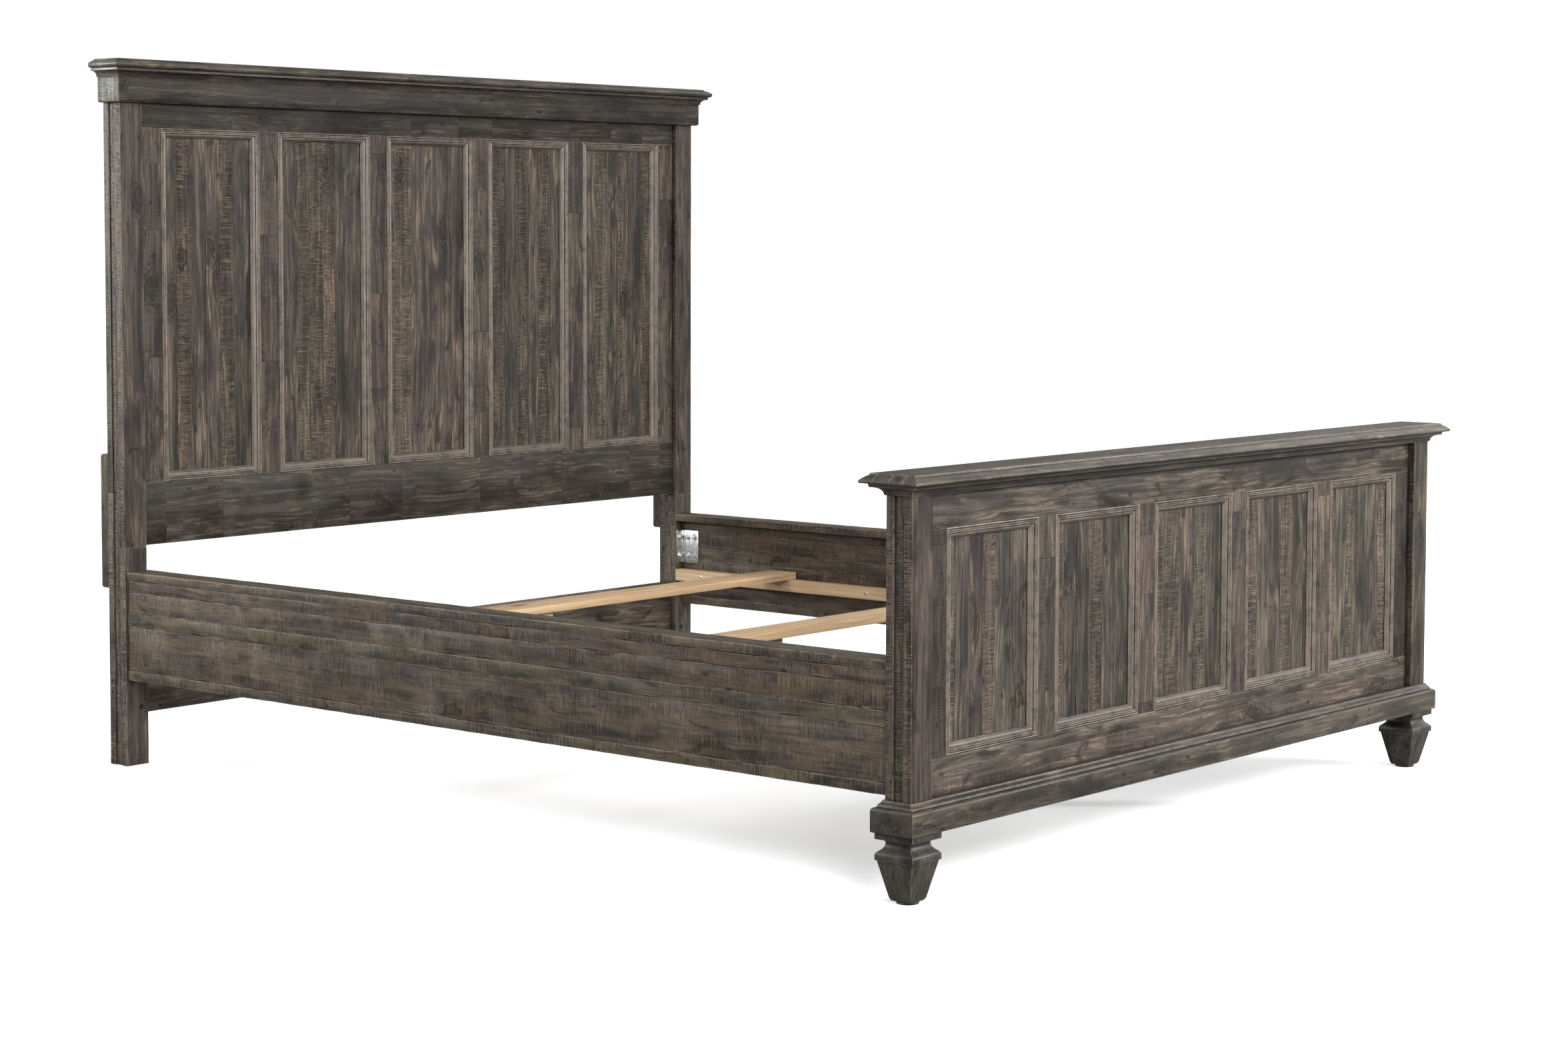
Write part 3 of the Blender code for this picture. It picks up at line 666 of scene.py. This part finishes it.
def panel_planks(prefix):
    """Narrow upright boards, some planed and some straight from the saw, laid side by side."""
    lo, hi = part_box(f"{prefix}_plank_panel")
    x, count = lo.x, 0
    for k, row in enumerate(PLANKS[prefix], 1):
        opening_lo, opening_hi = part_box(f"{prefix}_panel_moulding_{k}")
        left, right = opening_lo.x + MOULDING_W, opening_hi.x - MOULDING_W
        if x < left and k > 1:                      # the plank behind the mullion
            count += 1
            one_plank(prefix, count, x, left, k % 2)
            x = left
        total = sum(width for width, rough in row)
        for j, (width, rough) in enumerate(row, 1):
            last = j == len(row)
            end = right if last else (left if j == 1 else x) + (right - left) * width / total
            if last and k == len(PLANKS[prefix]):
                end = hi.x
            count += 1
            one_plank(prefix, count, x, end, rough)
            x = end


# ---- boards that follow their solids
def follow(node, grain, finish, ease=0.0014, wander=0.0004, spacing=0.045):
    lo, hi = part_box(node)
    obj = worn_board(lo, hi, grain, ease, wander, spacing)
    return piece(obj, f"{node}_board", finish, (node,))


LEVEL_BOARDS = (("head_top_rail", "jointed_level", "board"), ("head_bottom_rail", "jointed_level", "board"),
                ("foot_top_rail", "level", "board"), ("foot_bottom_rail_upper", "level", "board"),
                ("foot_bottom_rail_lower", "level_sawn", "board"), ("head_cross_rail", "level", "rail"))


def face_frames():
    for prefix, stile in (("head", "jointed_upright"), ("foot", "foot_stile")):
        for side, _ in SIDES:
            follow(f"{prefix}_stile_{side}", "Z", stile)
        for k in range(1, 5):
            follow(f"{prefix}_mullion_{k}", "Z", "jointed_upright")
    for node, finish, slot in LEVEL_BOARDS:
        follow(node, "X", finish)
    for side, _ in SIDES:
        lo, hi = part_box(f"head_cleat_{side}")
        obj = worn_board(lo, (hi.x, hi.y - SUNK, hi.z), "Z", ease=0.006, wander=0.0003)
        piece(obj, f"head_cleat_{side}_block", "upright", (f"head_cleat_{side}",))


HEAD_CAP_SEAMS = (0.0560,)                      # glue lines from the front edge back
FOOT_CAP_SEAMS = (0.0340, 0.0660, 0.1030)


def caps_and_mouldings():
    glued_up("head_cap", "cap_level", HEAD_CAP_SEAMS)
    glued_up("foot_cap", "cap_level", FOOT_CAP_SEAMS)
    mitred("head_cove_moulding", "band_level", "band_depth")
    mitred("head_frieze", "frieze", "frieze_end")
    mitred("foot_cove_moulding", "band_level", "band_depth", all_round=True)
    mitred("foot_base_moulding", "band_level", "band_depth", all_round=True)
    part_of("foot_plinth", "foot_plinth_beam", "plinth", ease=0.0014)


FOOT_SECTIONS = (           # (half the width, height) of the square foot from the toe upwards
    (0.0216, 0.0052), (0.0250, 0.0105), (0.0410, 0.0790), (0.0412, 0.0812), (0.0446, 0.0820),
    (0.0447, 0.0920), (0.0436, 0.0952), (0.0402, 0.0985), (0.0356, 0.1020), (0.0322, 0.1060),
    (0.0303, 0.1105), (0.0299, 0.1150), (0.0312, 0.1188), (0.0345, 0.1206), (0.0440, 0.1212),
    (0.0447, 0.1222), (0.0447, 0.1336))


def square_foot(centre):
    """A square foot drawn up from its toe, section by section, like a turning cut on four sides."""
    clear_choice()
    half, height = FOOT_SECTIONS[0]
    bpy.ops.mesh.primitive_plane_add(size=2 * half, location=centre + Z * height)
    obj = bpy.context.object
    bpy.ops.object.transform_apply(location=True)
    edit(kind="FACE")
    for next_half, next_height in FOOT_SECTIONS[1:]:
        extrude(Z * (next_height - height))
        grow = next_half / half
        bpy.ops.transform.resize(value=(grow, grow, 1), center_override=centre + Z * next_height)
        half, height = next_half, next_height
    face_outwards()
    return soften(obj, 0.0007, 2, 30)


def feet():
    """Square turned-style feet, each on a pressed-in nylon glide."""
    for side, _ in SIDES:
        node = f"foot_{side}"
        lo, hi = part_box(node)
        centre = Vector(((lo.x + hi.x) / 2, (lo.y + hi.y) / 2, 0))
        piece(square_foot(centre), f"{node}_block", "foot_block", (node,))
        part_of(node, f"{node}_glide", "nylon", (((0, 0, GLIDE_T), Z),), ease=0.0004)


# ---- panel mouldings
def panel_moulding_profile():
    """From the frame's edge inwards: three beads, a dark quirk, and a slope down to the planks."""
    back = 0.0102
    points = [(0.0003, back), (0.0003, 0.0012)]
    points += [(x, -y) for x, y in arc((0.0024, -0.0006), 0.0019, 190, -10, 6)]
    points += [(0.0048, 0.0016)]
    points += [(x, -y) for x, y in arc((0.0067, -0.0006), 0.0014, 190, -10, 5)]
    points += [(0.0087, 0.0014)]
    points += [(x, -y) for x, y in arc((0.0105, -0.0008), 0.0014, 190, 0, 5)]
    points += [(0.0120, 0.0034), (0.0128, 0.0036)]
    points += [(0.0140, 0.0024), (0.0156, 0.0024), (0.0176, 0.0036), (0.0197, 0.0058), (0.0213, 0.0084)]
    points += [(0.0222, 0.0092), (0.0225, back)]
    return points


def panel_mouldings(prefix):
    profile = panel_moulding_profile()
    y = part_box(f"{prefix}_stile_left")[0].y
    for k in range(1, 6):
        node = f"{prefix}_panel_moulding_{k}"
        lo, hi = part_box(node)
        left, right = lo.x - JOINT, hi.x + JOINT
        low, high = lo.z - JOINT, hi.z + JOINT
        width, height = right - left, high - low
        sides = {
            "left": (Vector((left, y, low)), Z, X, height, "stick_upright"),
            "right": (Vector((right, y, low)), Z, -X, height, "stick_upright"),
            "low": (Vector((left, y, low)), X, Z, width, "stick_level"),
            "high": (Vector((left, y, high)), X, -Z, width, "stick_level"),
        }
        for way, (start, along, side, length, finish) in sides.items():
            obj = stick(profile, start, along, side, length)
            piece(obj, f"{node}_{way}", finish, (node,))


# ---- posts and legs
FRONT_STRIP, BACK_STRIP = 0.0200, 0.0425    # depths of the channel down the outer side
CHANNEL_DEPTH = 0.0035


def strips(node, sign, spans, finish):
    """The glued strips of a post or leg: (word, front, back, low, high, whether it is set back)."""
    lo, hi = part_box(node)
    for word, front, back, low, high, recessed in spans:
        x0, x1 = lo.x, hi.x
        if recessed:
            x0, x1 = (x0 + CHANNEL_DEPTH, x1) if sign < 0 else (x0, x1 - CHANNEL_DEPTH)
        obj = worn_board((x0, lo.y + front + JOINT / 2, low), (x1, lo.y + back - JOINT / 2, high), "Z",
                         ease=0.0014)
        piece(obj, f"{node}_{word}", finish, (node,))


def posts():
    """Each head post laps its leg: the leg's back half stands higher than the joint at the front."""
    for side, sign in SIDES:
        lo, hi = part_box(f"head_post_{side}")
        depth = hi.y - lo.y
        middle = depth / 2
        seam_front, seam_back = lo.z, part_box(f"head_leg_{side}")[1].z
        strips(f"head_post_{side}", sign, (
            ("front", 0.0, FRONT_STRIP, seam_front, hi.z, False),
            ("core_front", FRONT_STRIP, middle, seam_front, hi.z, True),
            ("core_back", middle, BACK_STRIP, seam_back + JOINT, hi.z, True),
            ("back", BACK_STRIP, depth, seam_back + JOINT, hi.z, False)), "post")
        strips(f"head_leg_{side}", sign, (
            ("front", 0.0, FRONT_STRIP, 0.0, seam_front - JOINT, False),
            ("core_front", FRONT_STRIP, middle, 0.0, seam_front - JOINT, True),
            ("core_back", middle, BACK_STRIP, 0.0, seam_back, True),
            ("back", BACK_STRIP, depth, 0.0, seam_back, False)), "leg")
        lo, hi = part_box(f"foot_post_{side}")
        strips(f"foot_post_{side}", sign, (
            ("front", 0.0, FRONT_STRIP, lo.z, hi.z, False),
            ("core", FRONT_STRIP, BACK_STRIP, lo.z, hi.z, True),
            ("back", BACK_STRIP, hi.y - lo.y, lo.z, hi.z, False)), "post")


# ---- side rails
RAIL_T = 0.032
RAIL_SEAMS = (0.2245, 0.3280, 0.3598, 0.4069)   # heights of the glue lines on the rail's face
PLANK_SET_BACKS = (0.0, 0.0016, 0.0003, 0.0013, 0.0006)
LEDGE_LOW, LEDGE_HIGH = 0.268, 0.300


def side_rails():
    for side, sign in SIDES:
        node = f"side_rail_{side}"
        lo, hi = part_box(node)
        outer = lo.x if sign < 0 else hi.x
        levels = (lo.z, *RAIL_SEAMS, hi.z)
        for k, (low, high, set_back) in enumerate(zip(levels, levels[1:], PLANK_SET_BACKS)):
            xs = sorted((outer - sign * set_back, outer - sign * RAIL_T))
            obj = worn_board((xs[0], lo.y, low + JOINT / 2), (xs[1], hi.y, high - JOINT / 2), "Y",
                             ease=0.0018, wander=0.0012, spacing=0.030)
            piece(obj, f"{node}_plank_{k + 1}", "rail", (node,) if k == 0 else ())
        ledge = sorted((outer - sign * (RAIL_T + JOINT), hi.x if sign < 0 else lo.x))
        obj = worn_board((ledge[0], lo.y, LEDGE_LOW), (ledge[1], hi.y, LEDGE_HIGH), "Y", ease=0.0015)
        piece(obj, f"{node}_ledge", "pine_depth")
        follow(f"side_rail_cap_{side}", "Y", "rail", ease=0.0030, wander=0.0007, spacing=0.030)


# ---- small turned and drilled pieces
def turned(points, centre=(0, 0, 0), steps=28):
    """A shape spun about an upright line; points are (radius, height) from its foot."""
    obj = outline_face([Vector((r, 0, z)) for r, z in points])
    edit(kind="FACE")
    bpy.ops.mesh.delete(type="ONLY_FACE")
    edit(kind="EDGE")
    bpy.ops.mesh.spin(steps=steps, angle=math.tau, center=(0, 0, 0), axis=(0, 0, 1))
    edit(kind="VERT")
    bpy.ops.mesh.remove_doubles(threshold=0.00002)
    bpy.ops.mesh.delete_loose(use_verts=True, use_edges=True, use_faces=False)
    leave()
    face_outwards()
    obj.data.transform(Matrix.Translation(centre))
    shade(SMOOTH_CURVE)
    return obj


def screw_head(radius, height):
    """A low domed head with a cross recess, facing +Z."""
    head = turned(((0, -height), (radius * 0.9, -height), (radius, 0), (radius * 0.93, height * 0.45),
                   (radius * 0.70, height * 0.82), (radius * 0.35, height), (0, height)), steps=24)
    for turn in (0, 90):
        slot_cut = block((-radius * 0.60, -radius * 0.10, height * 0.35),
                         (radius * 0.60, radius * 0.10, height * 1.6))
        slot_cut.data.transform(Matrix.Rotation(math.radians(turn), 4, "Z"))
        clear_choice()
        bpy.context.view_layer.objects.active = head
        made = head.modifiers.new("slot", "BOOLEAN")
        made.object, made.operation, made.solver = slot_cut, "DIFFERENCE", "EXACT"
        bpy.ops.object.modifier_apply(modifier=made.name)
        bpy.data.objects.remove(slot_cut)
    return head


def hex_head(across, height):
    """A bolt head on its washer, facing +Z."""
    clear_choice()
    bpy.ops.mesh.primitive_cylinder_add(vertices=6, radius=across / math.sqrt(3), depth=height,
                                        location=(0, 0, height / 2 + 0.0012))
    head = bpy.context.object
    bpy.ops.object.transform_apply(location=True)
    edit(lambda e: all(v.co.z > height for v in e.verts))
    bpy.ops.mesh.bevel(offset=0.0008, segments=2, affect="EDGES")
    leave()
    washer = turned(((0, 0), (across * 0.92, 0), (across * 0.92, 0.0009), (across * 0.86, 0.0013),
                     (0, 0.0013)), steps=28)
    return joined([head, washer])


def copies(master, places, name, finish, body=BED):
    """The same small part set at each (place, direction it faces), as one named group."""
    made = []
    for place, out in places:
        obj = bpy.data.objects.new(name, master.data.copy())
        bpy.context.scene.collection.objects.link(obj)
        turn = Z.rotation_difference(out).to_matrix().to_4x4()
        spin = Matrix.Rotation(rng.uniform(0, math.tau), 4, "Z")
        obj.data.transform(Matrix.Translation(place) @ turn @ spin)
        made.append(obj)
    bpy.data.objects.remove(master)
    return piece(joined(made), name, finish, body=body)


# ---- slats, centre legs and hardware
PAD = ((0, 0), (0.0155, 0), (0.0176, 0.0010), (0.0180, 0.0022), (0.0180, 0.0040),
       (0.0165, 0.0062), (0.0120, 0.0082), (0.0088, 0.0094), (0, 0.0094))
INSERT = ((0.0056, 0.0267), (0.0112, 0.0267), (0.0118, 0.0272), (0.0118, 0.0279), (0.0056, 0.0279))
THREAD_FOOT, THREAD_PITCH, THREAD_TURNS = 0.0150, 0.00127, 48
ROOT_R, CREST_R = 0.0042, 0.0050


def levelling_foot(k):
    """A nylon pad on a threaded stem with a hexagon, and the threaded insert it turns in."""
    lo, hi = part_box(f"leveller_{k}")
    axis = Vector(((lo.x + hi.x) / 2, (lo.y + hi.y) / 2, 0))
    body = f"leveller_{k}"
    piece(turned(PAD, axis, 40), f"{body}_pad", "nylon", (body,), body)
    clear_choice()
    bpy.ops.mesh.primitive_cylinder_add(vertices=6, radius=0.0080, depth=0.0048,
                                        location=axis + Z * 0.0119)
    nut = bpy.context.object
    bpy.ops.object.transform_apply(location=True)
    soften(nut, 0.0006, 2, 50)
    thread = [(0, 0.0094), (0.0046, 0.0094), (0.0046, 0.0146)]
    for turn in range(THREAD_TURNS):
        low = THREAD_FOOT + turn * THREAD_PITCH
        thread += [(ROOT_R, low), (CREST_R, low + 0.0004), (CREST_R, low + 0.0007)]
    thread += [(ROOT_R, 0.0768), (0.0036, 0.0779), (0, 0.0779)]
    stem = turned(thread, axis, 20)
    piece(joined([stem, nut]), f"{body}_stem", "zinc", (body,), body)
    piece(turned(INSERT, axis, 32), f"centre_leg_{k}_insert", "zinc")


def supports():
    for k in range(1, 4):
        follow(f"slat_{k}", "X", "pine_level")
        part_of(f"centre_leg_{k}", f"centre_leg_{k}_post", "pine_upright", ease=0.0016)
        levelling_foot(k)


LEDGE_FACE = 0.920          # inner face of the slat ledges, from the middle
RAIL_INNER = 0.950
PLATE_T, PLATE_REACH, PLATE_INSIDE = 0.0025, 0.062, 0.9262
PLATE_LOW, PLATE_HIGH = 0.318, 0.408
BOLT_HEIGHTS = (0.336, 0.390)
BOLT_STEPS = (0.024, 0.048)         # along the rail from its end
BOLT_IN_POST = 0.9372
LEDGE_SCREWS = [-1.02 + 0.2915 * k for k in range(8)]
LEDGE_SCREW_HEIGHT = 0.284
CLEAT_SCREWS = [(x, z) for x in (0.941, 0.969) for z in (0.452, 0.490, 0.600, 0.684)]
CROSS_RAIL_SCREWS = ((0.8725, 0.1295), (0.9020, 0.2350))
LEG_CAP = ((0, -0.001), (0.0064, -0.001), (0.0064, 0.0004), (0.0058, 0.0010), (0.0044, 0.0010),
           (0.0040, 0.0003), (0, 0.0003))


def corner_plate(end, way, face, side, sign):
    """An angle plate inside the corner of rail and post, with two bolts through each leaf."""
    rail_face, corner = sign * (RAIL_INNER - 0.0001), face + way * 0.0001
    reach, inside = face + way * PLATE_REACH, sign * PLATE_INSIDE
    shape = [(rail_face, reach), (rail_face, corner), (inside, corner),
             (inside, corner + way * PLATE_T),
             (rail_face - sign * PLATE_T * 1.6, corner + way * PLATE_T),
             (rail_face - sign * PLATE_T, corner + way * PLATE_T * 1.6),
             (rail_face - sign * PLATE_T, reach)]
    plate = outline_face([Vector((x, y, PLATE_LOW)) for x, y in shape])
    edit(kind="FACE")
    extrude(Z * (PLATE_HIGH - PLATE_LOW))
    face_outwards()
    soften(plate, 0.0006, 2, 40)
    piece(plate, f"corner_plate_{end}_{side}", "zinc")
    in_rail = [(Vector((rail_face - sign * PLATE_T, face + way * y, z)), -X * sign)
               for y in BOLT_STEPS for z in BOLT_HEIGHTS]
    in_post = [(Vector((sign * BOLT_IN_POST, corner + way * PLATE_T, z)), Y * way) for z in BOLT_HEIGHTS]
    copies(hex_head(0.010, 0.0050), in_rail + in_post, f"corner_bolts_{end}_{side}", "zinc")


def rail_hardware():
    """Angle plates inside the four corners, and the screws that hold ledges, slats, legs and blocks."""
    for side, sign in SIDES:
        corner_plate("head", -1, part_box(f"head_leg_{side}")[0].y, side, sign)
        corner_plate("foot", 1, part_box(f"foot_post_{side}")[1].y, side, sign)
        places = [(Vector((sign * LEDGE_FACE, y, LEDGE_SCREW_HEIGHT)), -X * sign) for y in LEDGE_SCREWS]
        copies(screw_head(0.0042, 0.0011), places, f"ledge_screws_{side}", "zinc")
        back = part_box(f"head_cleat_{side}")[1].y - 2 * SUNK
        places = [(Vector((sign * x, back, z)), Y) for x, z in CLEAT_SCREWS]
        copies(screw_head(0.0046, 0.0014), places, f"cleat_screws_{side}", "black_steel")
    places = []
    for k in range(1, 4):
        lo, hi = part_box(f"slat_{k}")
        places += [(Vector((x, y, hi.z)), Z) for x in (lo.x + 0.015, hi.x - 0.015, -0.010, 0.010)
                   for y in (lo.y + 0.022, hi.y - 0.022)]
    copies(screw_head(0.0042, 0.0011), places, "slat_screws", "zinc")
    cross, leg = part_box("head_cross_rail")[0].y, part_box("head_leg_left")[0].y
    for master, front, spots, name in (
            (screw_head(0.0042, 0.0012), cross, CROSS_RAIL_SCREWS, "cross_rail_screws"),
            (turned(LEG_CAP, steps=28), leg, ((0.9446, 0.1358),), "leg_bolt_caps"),
            (screw_head(0.0026, 0.0008), leg, ((0.9442, 0.1670), (0.9442, 0.5790)), "leg_screws")):
        places = [(Vector((sign * x, front, z)), -Y) for sign in (-1, 1) for x, z in spots]
        copies(master, places, name, "black_steel")


# ---- floor, light and camera
def studio():
    clear_choice()
    bpy.ops.mesh.primitive_plane_add(size=400.0, location=(0, 0, 0))
    floor = bpy.context.object
    floor.name = "studio_floor"
    mat, tree, shader = new_material("pale_floor")
    seen = add_node(tree, "ShaderNodeLightPath").outputs["Is Camera Ray"]
    tree.links.new(blend(tree, seen, grey(0.34), grey(0.97)), shader.inputs["Base Color"])
    shader.inputs["Roughness"].default_value = 0.9
    shader.inputs["Specular IOR Level"].default_value = 0.1
    shader.inputs["Emission Color"].default_value = grey(1.0)
    tree.links.new(times(tree, seen, 0.32), shader.inputs["Emission Strength"])
    floor.data.materials.append(mat)

    world = bpy.data.worlds.new("studio")
    bpy.context.scene.world = world
    world.use_nodes = True
    tree, background = world.node_tree, world.node_tree.nodes["Background"]
    seen = add_node(tree, "ShaderNodeLightPath").outputs["Is Camera Ray"]
    tree.links.new(blend(tree, seen, grey(0.335), grey(1.0)), background.inputs["Color"])
    background.inputs["Strength"].default_value = 1.0

    def lamp(name, kind, place, aim, power, colour, **shape):
        data = bpy.data.lights.new(name, kind)
        data.energy = power
        data.color = colour
        for key, value in shape.items():
            setattr(data, key, value)
        made = bpy.data.objects.new(name, data)
        bpy.context.scene.collection.objects.link(made)
        made.location = place
        made.rotation_euler = (Vector(aim) - Vector(place)).to_track_quat("-Z", "Y").to_euler()

    centre = (0, 0, 0.7)
    lamp("key", "SUN", (-2.6, -5.0, 4.8), centre, 2.0, (1.0, 0.985, 0.965), angle=math.radians(30))
    lamp("fill", "SUN", (4.5, -4.5, 3.5), centre, 0.8, (1.0, 0.99, 0.98), angle=math.radians(60))
    lamp("rim", "SUN", (-2.0, 5.0, 5.0), centre, 0.8, (0.97, 0.99, 1.0), angle=math.radians(50))
    lamp("right_fill", "SUN", (5.0, 0.4, 2.8), centre, 0.6, (0.98, 0.99, 1.0), angle=math.radians(40))
    lamp("tall_strip", "AREA", (-2.6, -3.2, 1.7), (-0.1, 1.12, 1.1), 66.0, (1.0, 0.99, 1.0),
         shape="RECTANGLE", size=0.7, size_y=2.2)
    lamp("head_side", "AREA", (-4.6, 0.9, 2.2), (-0.6, 1.12, 1.25), 8.0, (0.97, 0.99, 1.0),
         shape="RECTANGLE", size=0.9, size_y=1.4, spread=math.radians(46))
    lamp("left_strip", "AREA", (-3.4, 3.6, 2.1), (-0.99, 1.12, 1.56), 26.0, (0.93, 0.99, 1.0),
         shape="RECTANGLE", size=1.2, size_y=1.0, spread=math.radians(60))
    lamp("foot_front", "AREA", (2.6, -4.6, 2.3), (0.7, -1.17, 0.5), 60.0, (1.0, 0.99, 0.98),
         shape="RECTANGLE", size=1.6, size_y=1.2, spread=math.radians(90))
    bpy.context.scene.view_settings.view_transform = "Standard"


EYE = (-5.4159, -4.5385, 1.2512)
TURN, DIP, ROLL = math.radians(-50.30), math.radians(-3.755), math.radians(0.149)
LENS, SHIFT = 70.13, -0.06


def camera():
    """A long lens a little below the top of the headboard, left of the footboard."""
    data = bpy.data.cameras.new("camera")
    cam = bpy.data.objects.new("camera", data)
    bpy.context.scene.collection.objects.link(cam)
    data.sensor_width = 36.0
    data.lens = LENS
    data.shift_y = SHIFT
    cam.matrix_world = (Matrix.Translation(EYE) @ Matrix.Rotation(TURN, 4, "Z")
                        @ Matrix.Rotation(math.pi / 2 + DIP, 4, "X") @ Matrix.Rotation(ROLL, 4, "Z"))
    data.clip_end = 300.0
    bpy.context.scene.camera = cam


camera()
studio()
for prefix in ("head", "foot"):
    panel_planks(prefix)
    panel_mouldings(prefix)
face_frames()
posts()
side_rails()
caps_and_mouldings()
feet()
supports()
rail_hardware()
clear_choice()
